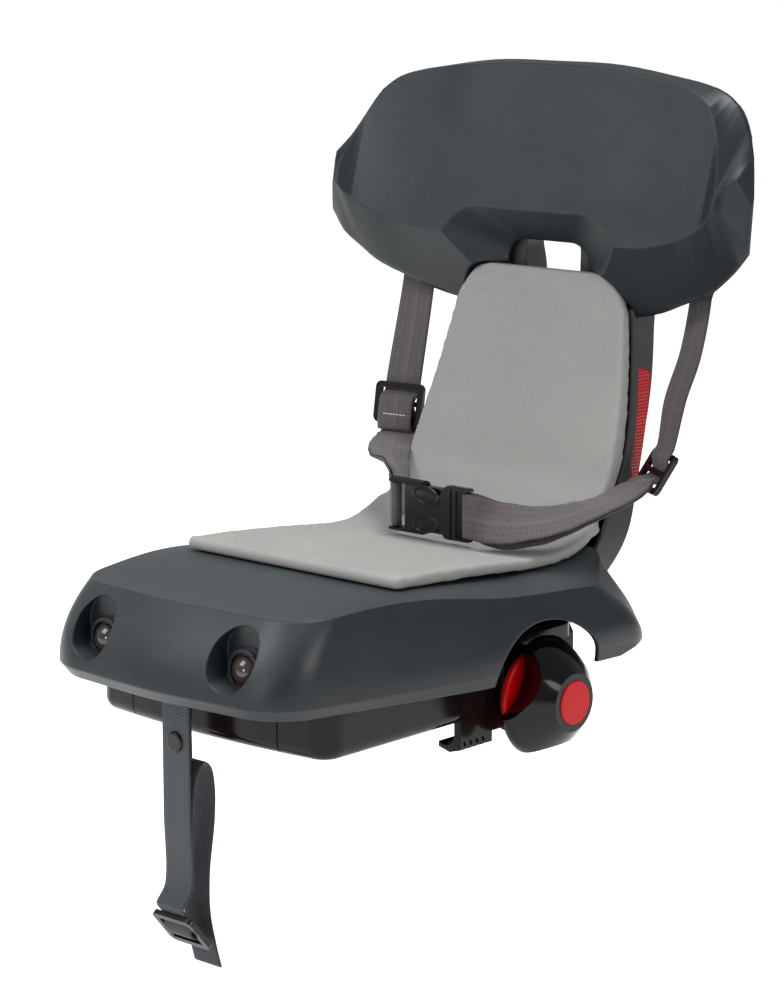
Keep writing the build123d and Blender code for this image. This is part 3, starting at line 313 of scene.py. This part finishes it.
STRAP_X_MM, SLOT_Z_MM, ANCHOR_Y_MM, ANCHOR_R_MM = 134.0, 306.0, 152.5, 3.0
WEB_W_MM, WEB_T_MM = 32.0, 1.5
TETHER_W_MM, TETHER_T_MM = 26.0, 1.4
BAR_R_MM, GAP_MM = 2.0, 0.3
OUT_MM = 1.8 + 1.3                    # from a slide's middle to webbing that passes over its bars
BUCKLE_Y_MM, BUCKLE_Z_MM = 30.0, 123.5
SOCKET_BAR_X_MM, PLUG_BAR_X_MM = -27.5, 40.0
LOOP_R_MM = BAR_R_MM + GAP_MM + WEB_T_MM / 2
PAIR_MM = WEB_T_MM / 2 + 0.25         # from the middle of a doubled belt to each layer
TETHER_Y_MM, TETHER_PIN_Z_MM, PIN_R_MM = -219.0, 52.0, 2.5
STEP_MM = 2.0                         # between two rows of a strap's mesh
LEAN_DEGREES = -26                    # of the right belt's width above its slide


def seated(x, y, z, *turns):
    """A local frame at a place in millimetres, turned about the axes in order."""
    matrix = Matrix.Translation((x, y, z))
    for axis, degrees in turns:
        matrix = matrix @ Matrix.Rotation(math.radians(degrees), 4, axis)
    return matrix


LEFT_SLIDE = seated(-131, 147, 171, ("Z", 8), ("X", -10))
RIGHT_SLIDE = seated(120.5, 143, 149.5, ("Z", -32), ("X", -32))
TETHER_SLIDE = seated(0, -216, -130, ("X", 40))
# Through a slide, in the slide's own frame: behind its end bars and in front of its middle bar.
SLIDE_WEAVE = [(0, OUT_MM, 17), (0, OUT_MM, 11.2), (0, -OUT_MM, 1.8), (0, -OUT_MM, -1.8), (0, OUT_MM, -11.2),
               (0, OUT_MM, -19)]
# The right belt: in front of the upper bar, behind the middle one and out over the lower one.
RIGHT_WEAVE = [(0, -OUT_MM, 18), (0, -OUT_MM, 11.2), (0, OUT_MM, 1.8), (0, OUT_MM, -1.8), (0, 0, -6.5),
               (0, -OUT_MM - 2, -10)]


def placed(slide, points):
    """Points of a slide's own frame, in the seat's."""
    return [tuple(slide @ Vector(p)) for p in points]


def width_of(slide):
    """The direction across the webbing in a slide."""
    return tuple(slide.to_3x3() @ Vector((1, 0, 0)))


def anchor_loop(sign):
    """Round the anchor bar, out through the slot in the rear cover, and down."""
    x = sign * STRAP_X_MM
    radius = ANCHOR_R_MM + GAP_MM + WEB_T_MM / 2
    points = [(x, ANCHOR_Y_MM + 5, SLOT_Z_MM - radius)]
    for angle in (-90, -135, -180, -225, -270):
        a = math.radians(angle)
        points.append((x, ANCHOR_Y_MM + radius * math.cos(a), SLOT_Z_MM + radius * math.sin(a)))
    return points + [(x, 164, 309), (x, 171, 307.5), (x, 175, 302), (x, 175.5, 290), (x, 174.5, 272)]


def square_to(way, across):
    """The part of a direction that is square to the strap's run."""
    side = Vector(across)
    return (side - way * side.dot(way)).normalized()


def belt_loop(belt, radius):
    """A doubled belt: one layer in, round the bar at the first station, and the other layer back.
    Each station is its place, the way across the belt and the distance from its middle to each layer."""
    line = [Vector(place) for place, _, _ in belt]
    near, far, sides = [], [], []
    for n, (_, across, apart) in enumerate(belt):
        way = (line[min(n + 1, len(line) - 1)] - line[max(n - 1, 0)]).normalized()
        side = square_to(way, across)
        near.append(line[n] + way.cross(side) * apart)
        far.append(line[n] - way.cross(side) * apart)
        sides.append(side)
    first_way = (line[1] - line[0]).normalized()
    normal = first_way.cross(sides[0])
    turn = []
    for angle in (36, 72, 108, 144):
        a = math.radians(angle)
        turn.append(line[0] + normal * (radius * math.cos(a)) - first_way * (radius * math.sin(a)))
    return near[::-1] + turn + far, sides[::-1] + [sides[0]] * len(turn) + sides


def through(stations, widths):
    """Frames along a smooth curve through the stations: place, run, side and distance.
    The slope at each station weighs its two neighbours by the root of their distance, so that the curve
    stays close where the stations are close."""
    line = [Vector(p) for p in stations]
    sides = [Vector(w).normalized() for w in widths]
    line = [line[0] * 2 - line[1]] + line + [line[-1] * 2 - line[-2]]
    places, across = [], []
    for n in range(1, len(line) - 2):
        p0, p1, p2, p3 = line[n - 1:n + 3]
        d0, d1, d2 = [max((b - a).length, 0.01) ** 0.5 for a, b in ((p0, p1), (p1, p2), (p2, p3))]
        m1 = ((p1 - p0) / d0 - (p2 - p0) / (d0 + d1) + (p2 - p1) / d1) * d1
        m2 = ((p2 - p1) / d1 - (p3 - p1) / (d1 + d2) + (p3 - p2) / d2) * d1
        count = max(2, int((p2 - p1).length / STEP_MM))
        for k in range(count + (n == len(line) - 3)):
            t = k / count
            places.append(p1 * (2 * t ** 3 - 3 * t ** 2 + 1) + m1 * (t ** 3 - 2 * t ** 2 + t)
                          + p2 * (3 * t ** 2 - 2 * t ** 3) + m2 * (t ** 3 - t ** 2))
            across.append(sides[n - 1].lerp(sides[n], t * t * (3 - 2 * t)))
    frames, distance = [], 0.0
    for n, here in enumerate(places):
        if n:
            distance += (here - places[n - 1]).length
        way = (places[min(n + 1, len(places) - 1)] - places[max(n - 1, 0)]).normalized()
        frames.append((here, way, square_to(way, across[n]), distance))
    return frames


# A webbing's section: places across its half width, and its share of the full thickness at each.
SECTION = [(-1, 0.15), (-0.985, 0.62), (-0.94, 0.95), (-0.7, 1), (-0.35, 1), (0, 1), (0.35, 1), (0.7, 1),
           (0.94, 0.95), (0.985, 0.62), (1, 0.15)]


def ribbon(name, frames, width_mm, thickness_mm, finish):
    """Webbing as a closed strip with a rounded selvedge, its thread map in millimetres."""
    ring = [(u, 1, share) for u, share in SECTION] + [(u, -1, share) for u, share in SECTION[::-1]]
    mesh = bpy.data.meshes.new(name)
    work = bmesh.new()
    thread = work.loops.layers.uv.new("thread")
    rows = []
    for here, way, side, distance in frames:
        normal = way.cross(side)
        rows.append([(work.verts.new((here + side * (u * width_mm / 2)
                                      + normal * (front * share * thickness_mm / 2)) * MM),
                      u * width_mm / 2, distance) for u, front, share in ring])

    def face(corners):
        made = work.faces.new([c[0] for c in corners])
        made.smooth = True
        for loop, corner in zip(made.loops, corners):
            loop[thread].uv = corner[1:]

    for a, b in zip(rows, rows[1:]):
        for n in range(len(ring)):
            m = (n + 1) % len(ring)
            face((a[n], a[m], b[m], b[n]))
    face(rows[0][::-1])
    face(rows[-1])
    bmesh.ops.recalc_face_normals(work, faces=work.faces[:])
    work.to_mesh(mesh)
    work.free()
    strap = bpy.data.objects.new(name, mesh)
    bpy.context.scene.collection.objects.link(strap)
    coat(strap, finish)
    return strap


def webbing_left():
    """From the anchor bar down through its slide and forward to the socket's bar, with its doubled end."""
    weave, across = placed(LEFT_SLIDE, SLIDE_WEAVE), width_of(LEFT_SLIDE)
    x, y, z = weave[-1]
    bar = SOCKET_BAR_X_MM
    belt = [((bar, BUCKLE_Y_MM, BUCKLE_Z_MM), (0, 0, -1), LOOP_R_MM),
            ((bar - 7, 36, BUCKLE_Z_MM), (0, 0, -1), 2.9),
            ((bar - 17, 49, 126.5), (0.2, 0.15, -0.95), 1.6),
            ((-66, 73, 133.5), (0.45, 0.4, -0.8), PAIR_MM),
            ((-90, 90.5, 140), (0.7, 0.6, -0.38), PAIR_MM),
            ((-104.5, 106.5, 144), (0.77, 0.62, -0.12), PAIR_MM),
            ((-116.5, 123.5, 146), (0.85, 0.5, -0.04), PAIR_MM),
            ((-125, 137.5, 147), (0.93, 0.33, 0), PAIR_MM),
            ((x + 0.5, y - 2, z - 3.6), across, PAIR_MM)]
    points, sides = belt_loop(belt, LOOP_R_MM)
    down = anchor_loop(-1)
    sides = [(1, 0, 0)] * len(down) + [across] * len(weave) + sides[1:]
    return through(down + weave + points[1:], sides)


def webbing_right():
    """From the anchor bar down through its slide and forward to the plug's bar, with its doubled end."""
    weave, across = placed(RIGHT_SLIDE, RIGHT_WEAVE), width_of(RIGHT_SLIDE)
    x, y, z = weave[-1]
    bar = PLUG_BAR_X_MM
    belt = [((bar, BUCKLE_Y_MM, BUCKLE_Z_MM), (0, 0, -1), LOOP_R_MM),
            ((bar + 7, 29.5, BUCKLE_Z_MM), (0, 0, -1), 3.4),
            ((66, 37, 118.5), (0.5, -0.34, -0.79), 4.5),
            ((90, 49, 120), (0.7, -0.5, -0.51), 3.2),
            ((102, 58, 124), (0.78, -0.5, -0.38), 2),
            ((110, 70, 128.5), (0.83, -0.5, -0.25), 1.4),
            ((115, 86, 132), (0.9, -0.43, -0.09), PAIR_MM),
            ((115.5, 106, 135), (0.93, -0.37, -0.02), PAIR_MM),
            ((114.5, 123, 139), (0.92, -0.4, 0.0), PAIR_MM),
            ((x - 1.2, y - 3.6, z - 1.4), across, PAIR_MM)]
    points, sides = belt_loop(belt, LOOP_R_MM)
    down = anchor_loop(1) + [(130.5, 168, 232), (124, 160, 200)]
    lean = (math.cos(math.radians(LEAN_DEGREES)), math.sin(math.radians(LEAN_DEGREES)), 0)
    sides = [(1, 0, 0)] * (len(down) - 3) + [lean] * 3 + [across] * len(weave) + sides[1:]
    return through(down + weave + points[1:], sides)


def tether_runs():
    """The tether's main run, from its slide up over the pin and down again, and its loose tail."""
    y = TETHER_Y_MM
    radius = PIN_R_MM + GAP_MM + TETHER_T_MM / 2
    weave = placed(TETHER_SLIDE, SLIDE_WEAVE)
    _, lead_y, lead_z = weave[0]
    front = [(0, lead_y - 2.4, lead_z + 4), (0, y, -100), (0, y, -50), (0, y, 2), (0, y, 30),
             (0, y, TETHER_PIN_Z_MM)]
    over = []
    for angle in (144, 108, 72, 36):
        a = math.radians(angle)
        over.append((0, y + radius + radius * math.cos(a), TETHER_PIN_Z_MM + radius * math.sin(a)))
    back = [(0, y + 2 * radius, TETHER_PIN_Z_MM), (0, y + 2 * radius, TETHER_PIN_Z_MM - 10), (0, y + 1.9, 16),
            (0, y + 1.9, 0), (0, y + 1.9, -9)]
    loose = [(0, y + 1.8, -100), (0, y + 1.8, -60), (0, y + 3, -38), (0, y + 7, -20), (0, y + 13, -13),
             (0, y + 19, -17), (0, y + 22.5, -32), (0, y + 22, -55), (0, y + 17, -90), (0, y + 17, -118),
             (0, y + 22, -142), (0, y + 27, -160)]
    main = weave[::-1] + front + over + back
    return through(main, [(1, 0, 0)] * len(main)), through(loose, [(1, 0, 0)] * len(loose))


left = webbing_left()
strap_left = ribbon("webbing_left_woven", left, WEB_W_MM, WEB_T_MM, HARNESS)
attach(strap_left, "seat")
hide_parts("webbing_left")

# The right belt runs from its slide to the plug's bar at the buckle; it is attached to no body.
right = webbing_right()
strap_right = ribbon("webbing_right_woven", right, WEB_W_MM, WEB_T_MM, HARNESS)
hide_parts("webbing_right")
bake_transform(strap_right)

main_run, tail = tether_runs()
tether_main = ribbon("tether_run_woven", main_run, TETHER_W_MM, TETHER_T_MM, TETHER)
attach(tether_main, "seat")
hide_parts("tether_strap")
tether_tail = ribbon("tether_tail_woven", tail, TETHER_W_MM, TETHER_T_MM, TETHER)
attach(tether_tail, "seat")


# Clamp knob

KNOB_AXIS_MM, KNOB_TURN = 14.6, 30
SCOOP_R_MM, SCOOP_OUT_MM, SCOOP_X_MM, SCOOP_LEAN = 34.0, 64.0, 146.0, 25
SCOOP_ANGLES = (153, 273, 33)


def lobed_knob():
    """The knob's body, turned as it was left in the photograph, with three deep finger scoops down to the
    flange."""
    axis = Matrix.Translation((0, 0, KNOB_AXIS_MM * MM))
    turn = axis @ Matrix.Rotation(math.radians(KNOB_TURN), 4, "X") @ axis.inverted()
    knob = merged_copy("knob_body", "knob_body_lobed", turn)
    for angle in SCOOP_ANGLES:
        a, lean = math.radians(angle), math.radians(SCOOP_LEAN)
        out = Vector((0, math.cos(a), math.sin(a)))
        way = Vector((math.cos(lean), 0, 0)) + out * math.sin(lean)
        place = Vector((SCOOP_X_MM, 0, KNOB_AXIS_MM)) + out * SCOOP_OUT_MM
        bpy.ops.mesh.primitive_cylinder_add(vertices=128, radius=SCOOP_R_MM * MM, depth=0.12,
                                            location=place * MM,
                                            rotation=way.to_track_quat("Z", "Y").to_euler())
        cutter = bpy.context.object
        shaped(knob, "BOOLEAN", operation="DIFFERENCE", solver="EXACT", object=cutter)
        bpy.data.objects.remove(cutter)
    bpy.ops.object.select_all(action="DESELECT")
    knob.select_set(True)
    bpy.context.view_layer.objects.active = knob
    bpy.ops.object.shade_smooth_by_angle(angle=math.radians(32))
    knob.select_set(False)
    coat(knob, BLACK_POM)
    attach(knob, "clamp_knob")
    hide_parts("knob_body")


lobed_knob()


# Buckle

PRESS_Y_MM = BUCKLE_Y_MM - 5.5              # the front face of the buckle's socket
RIM_SHARE, RIM_DEPTH_MM = 0.15, 6.0         # the rim's section, as a share of the oval and in depth
CROWN_SHARE, CROWN_MM = 0.86, 0.75          # the crowned middle: its share of the oval and its height


def press_oval(name, x_mm, z_mm, half_x_mm, half_z_mm, tilt, body):
    """A moulded oval with a raised rim and a crowned middle on the buckle's front, where it is pressed."""
    bpy.ops.object.select_all(action="DESELECT")
    seat_of_oval = {"location": (x_mm * MM, PRESS_Y_MM * MM, z_mm * MM),
                    "rotation": (math.pi / 2, math.radians(tilt), 0)}
    bpy.ops.mesh.primitive_torus_add(major_segments=40, minor_segments=12, major_radius=1.0,
                                     minor_radius=RIM_SHARE, **seat_of_oval)
    rim = bpy.context.object
    rim.scale = (half_x_mm * MM, half_z_mm * MM, RIM_DEPTH_MM * MM)
    bpy.ops.object.transform_apply(location=True, rotation=True, scale=True)
    bpy.ops.mesh.primitive_uv_sphere_add(segments=32, ring_count=16, radius=1.0, **seat_of_oval)
    crown = bpy.context.object
    crown.scale = (half_x_mm * CROWN_SHARE * MM, half_z_mm * CROWN_SHARE * MM, CROWN_MM * MM)
    bpy.ops.object.transform_apply(location=True, rotation=True, scale=True)
    rim.select_set(True)
    bpy.context.view_layer.objects.active = rim
    bpy.ops.object.join()
    rim.name = name
    bpy.ops.object.shade_smooth()
    rim.select_set(False)
    coat(rim, BUCKLE_POM)
    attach(rim, body)


press_oval("buckle_press_upper", 5.5, 134.0, 11.5, 6.2, 8, "seat")
press_oval("buckle_press_lower", 5.5, 113.0, 11.5, 5.6, -8, "seat")


# Foam pad

PAD_VOXEL_MM, PAD_EASE_ROUNDS = 1.9, 10


def foam_pad():
    """The pad's solid as one closed skin, its corners eased as they come from the mould."""
    skin = merged_copy("seat_pad", "seat_pad_foam")
    shaped(skin, "REMESH", mode="VOXEL", voxel_size=PAD_VOXEL_MM * MM)
    shaped(skin, "SMOOTH", factor=0.5, iterations=PAD_EASE_ROUNDS)
    bpy.ops.object.shade_smooth()
    skin.select_set(False)
    coat(skin, FOAM_EVA)
    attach(skin, "seat")
    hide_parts("seat_pad")
    return skin


pad = foam_pad()


# Hem and stitching

STITCH_PITCH_MM, STITCH_ROW_MM = 3.0, 1.8      # from stitch to stitch, and from row to row
STITCH_MM = (2.5, 0.9, 0.5)                    # length, width and height of one stitch
STITCH_PROUD_MM = 0.1
# The hem's line in the left slide's own frame: folded over the middle bar, and down in front of it.
HEM_LINE = [(0, -2.9, 5.6), (0, -4.6, 3.5), (0, -5.0, -2), (0, -5.0, -9), (0, -4.6, -16), (0, -3.4, -21)]
HEM_W_MM = WEB_W_MM - 1


def stitches(name, frames, at_mm, rows, span_mm, thickness_mm, finish, body):
    """Rows of thread across a strap at a distance along it, as short raised stitches."""
    here, way, side, _ = min(frames, key=lambda f: abs(f[3] - at_mm))
    normal = way.cross(side)
    turn = Matrix([side, way, normal]).transposed().to_4x4()
    size = Matrix.Diagonal((*STITCH_MM, 1))
    count = int(span_mm / STITCH_PITCH_MM)
    work = bmesh.new()
    for row in range(rows):
        for n in range(count):
            place = (here + side * ((n - (count - 1) / 2) * STITCH_PITCH_MM)
                     + way * ((row - (rows - 1) / 2) * STITCH_ROW_MM)
                     + normal * (thickness_mm / 2 + STITCH_PROUD_MM))
            made = bmesh.ops.create_icosphere(work, subdivisions=2, radius=0.5)
            bmesh.ops.transform(work, verts=made["verts"],
                                matrix=Matrix.Scale(MM, 4) @ Matrix.Translation(place) @ turn @ size)
    for polygon in work.faces:
        polygon.smooth = True
    mesh = bpy.data.meshes.new(name)
    work.to_mesh(mesh)
    work.free()
    thread = bpy.data.objects.new(name, mesh)
    bpy.context.scene.collection.objects.link(thread)
    coat(thread, finish)
    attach(thread, body)


# The left belt's hem is sewn with one white row, and the tether's end with two black ones.
hem = through(placed(LEFT_SLIDE, HEM_LINE), [width_of(LEFT_SLIDE)] * len(HEM_LINE))
hem_strap = ribbon("webbing_left_hem", hem, HEM_W_MM, WEB_T_MM, HARNESS)
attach(hem_strap, "seat")
stitches("hem_stitches_left", hem, 15.5, 1, 21, WEB_T_MM, WHITE_THREAD, "seat")
stitches("hem_stitches_tether", tail, 3.0, 2, 20, TETHER_T_MM, BLACK_THREAD, "seat")


# Viewpoint, floor and light

LENS_MM, SENSOR_MM = 109.44, 36.0
CAMERA_PLACE = (1.4174, -1.5655, 0.5518)
CAMERA_WAY, CAMERA_RIGHT = (-0.6597, 0.7261, -0.1939), (0.7401, 0.6725, 0.0)
FLOOR_Z, FLOOR_RADIUS = -0.1655, 24.0     # just below the tether, and past where the camera sees an edge
PAPER_GLOW = 0.7                          # what the paper adds to what the camera and reflections see
ROOM_LEVEL = 0.38                         # the light of the room on the object
SOFT_BOXES = [
    # name, place, what it looks at, size in metres, power in watts
    ("key_soft_box", (-0.7, -1.7, 1.9), (0, -0.02, 0.15), 1.3, 27.0),
    ("side_soft_box", (2.0, -0.2, 0.9), (0, 0, 0.1), 0.8, 12.0),
    ("top_soft_box", (0.1, 0.4, 2.3), (0, 0.0, 0.2), 0.9, 31.0),
    ("front_soft_box", (0.3, -2.3, 0.5), (0, 0, 0.1), 0.4, 6.0),
]


def viewpoint():
    """The photograph's camera, 42 degrees round from the front and 11 above."""
    data = bpy.data.cameras.new("viewpoint")
    data.sensor_width, data.sensor_fit, data.lens = SENSOR_MM, "AUTO", LENS_MM
    data.clip_start, data.clip_end = 0.05, 100.0
    camera = bpy.data.objects.new("viewpoint", data)
    bpy.context.scene.collection.objects.link(camera)
    forward, right_way = Vector(CAMERA_WAY).normalized(), Vector(CAMERA_RIGHT).normalized()
    up = right_way.cross(forward)
    camera.matrix_world = (Matrix.Translation(CAMERA_PLACE)
                           @ Matrix([right_way, up, -forward]).transposed().to_4x4())
    bpy.context.scene.camera = camera


def floor():
    """White seamless paper just below the tether: it takes the shadow and reads white to the camera."""
    bpy.ops.object.select_all(action="DESELECT")
    bpy.ops.mesh.primitive_circle_add(vertices=96, radius=FLOOR_RADIUS, fill_type="NGON",
                                      location=(0, 0, FLOOR_Z))
    paper = bpy.context.object
    paper.name = "paper_floor"
    material, tree, shader = surface("white_seamless_paper", Roughness=0.9, Emission_Color=(1, 1, 1, 1))
    place = add(tree, "ShaderNodeTexCoord").outputs["Object"]
    fibre = add(tree, "ShaderNodeTexNoise", {"Scale": per_mm(2.0), "Detail": 2.0}, {"Vector": place})
    tone = add(tree, "ShaderNodeMix", {"data_type": "RGBA", 6: linear("#f2f2f1"), 7: linear("#f6f6f6")},
               {0: fibre.outputs["Fac"]})
    seen = add(tree, "ShaderNodeLightPath")
    share = add(tree, "ShaderNodeMath", {"operation": "MAXIMUM"},
                {0: seen.outputs["Is Camera Ray"], 1: seen.outputs["Is Glossy Ray"]})
    share = add(tree, "ShaderNodeMath", {"operation": "MAXIMUM"},
                {0: share.outputs["Value"], 1: seen.outputs["Is Transmission Ray"]})
    share = add(tree, "ShaderNodeMath", {"operation": "MULTIPLY", 1: PAPER_GLOW}, {0: share.outputs["Value"]})
    tree.links.new(tone.outputs[2], shader.inputs["Base Color"])
    tree.links.new(share.outputs["Value"], shader.inputs["Emission Strength"])
    paper.data.materials.append(material)


def room_light():
    """An even pale room, which is white to the camera."""
    world = bpy.data.worlds.new("studio")
    bpy.context.scene.world = world
    world.use_nodes = True
    tree = world.node_tree
    tree.nodes.clear()
    seen = add(tree, "ShaderNodeLightPath")
    share = add(tree, "ShaderNodeMath", {"operation": "MAXIMUM"},
                {0: seen.outputs["Is Camera Ray"], 1: seen.outputs["Is Transmission Ray"]})
    light = add(tree, "ShaderNodeMix", {"data_type": "FLOAT", 2: ROOM_LEVEL, 3: 1.0},
                {0: share.outputs["Value"]})
    back = add(tree, "ShaderNodeBackground", {"Color": (1, 1, 1, 1)}, {"Strength": light.outputs[0]})
    add(tree, "ShaderNodeOutputWorld", {}, {"Surface": back.outputs["Background"]})


def soft_box(name, place, target, size, power):
    """A soft box that looks at a point."""
    data = bpy.data.lights.new(name, "AREA")
    data.shape, data.size, data.energy = "SQUARE", size, power
    light = bpy.data.objects.new(name, data)
    bpy.context.scene.collection.objects.link(light)
    light.location = place
    light.rotation_euler = (Vector(target) - Vector(place)).to_track_quat("-Z", "Y").to_euler()


viewpoint()
floor()
room_light()
for box in SOFT_BOXES:
    soft_box(*box)
bpy.context.scene.view_settings.view_transform = "Standard"
